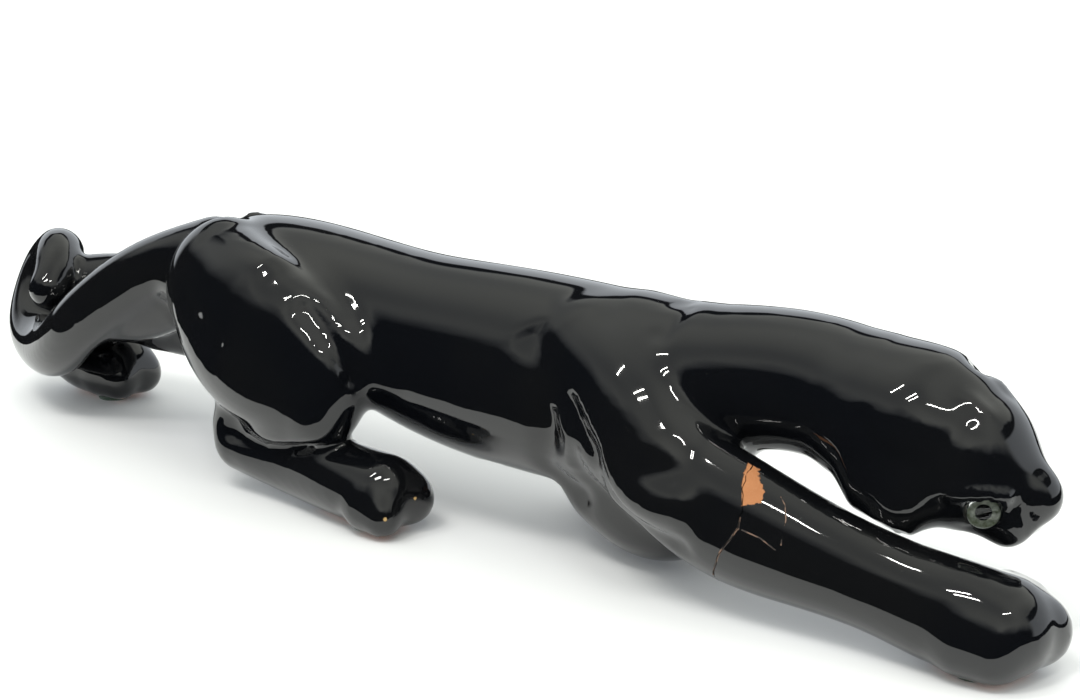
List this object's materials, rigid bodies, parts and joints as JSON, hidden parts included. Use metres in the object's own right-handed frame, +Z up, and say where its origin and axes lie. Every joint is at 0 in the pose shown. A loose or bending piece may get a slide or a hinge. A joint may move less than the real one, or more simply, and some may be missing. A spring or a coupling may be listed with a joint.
{
  "type": "television lamp",
  "caption": "Long black-glazed ceramic stalking panther on felt feet, hollow, with glass eyes, a glued-back foreleg and a small bulb, switched socket and bracket inside the belly.",
  "frame": {"origin": "middle of the bounding box, on the surface the felt pads stand on", "axes": "+X from tail to head, +Y to the animal's left, +Z up"},
  "size_m": [0.5574, 0.1107, 0.1103],
  "materials": {
    "glaze": "high-gloss black glaze on red clay",
    "glass": "clear glass",
    "iris": "painted yellow-green iris, black pupil",
    "cement": "set plaster cement",
    "felt": "pressed felt",
    "steel": "zinc-plated steel",
    "brass": "plain brass",
    "phenolic": "dark brown phenolic",
    "fibre": "red vulcanised fibre",
    "rubber": "soft black rubber",
    "tungsten": "tungsten wire",
    "black_glass": "black glass insulator",
    "solder": "dull solder"
  },
  "bodies": {
    "lamp": {"panther_body": "glaze", "right_foreleg": "glaze", "right_eye_glass": "glass", "right_eye_iris": "iris", "right_eye_cement": "cement", "left_eye_glass": "glass", "left_eye_iris": "iris", "left_eye_cement": "cement", "right_fore_felt_pad": "felt", "left_fore_felt_pad": "felt", "right_hind_felt_pad": "felt", "left_hind_felt_pad": "felt", "lamp_bracket": "steel", "bracket_screw": "steel", "bracket_washer": "fibre", "bracket_nut": "steel", "lamp_nipple": "brass", "nipple_locknut": "brass", "socket_cap": "brass", "socket_body": "phenolic", "right_terminal_screw": "brass", "left_terminal_screw": "brass", "socket_screw_shell": "brass", "socket_insulator": "fibre", "socket_contact": "brass", "cord_grommet": "rubber"},
    "switch": {"switch_spindle": "steel", "switch_knob": "phenolic"},
    "bulb": {"bulb_glass": "glass", "bulb_base": "brass", "bulb_insulator": "black_glass", "bulb_contact": "solder", "bulb_stem": "glass", "bulb_filament": "tungsten"}
  },
  "joints": [
    {"name": "switch_turn", "type": "hinge", "parent": "lamp", "child": "switch", "pos_m": [0.02612, 0.00141, 0.05], "axis": [0, 0, 1], "continuous": true},
    {"name": "bulb_turn", "type": "hinge", "parent": "lamp", "child": "bulb", "pos_m": [0.04362, 0.00141, 0.068], "axis": [1, 0, 0], "continuous": true}
  ]
}
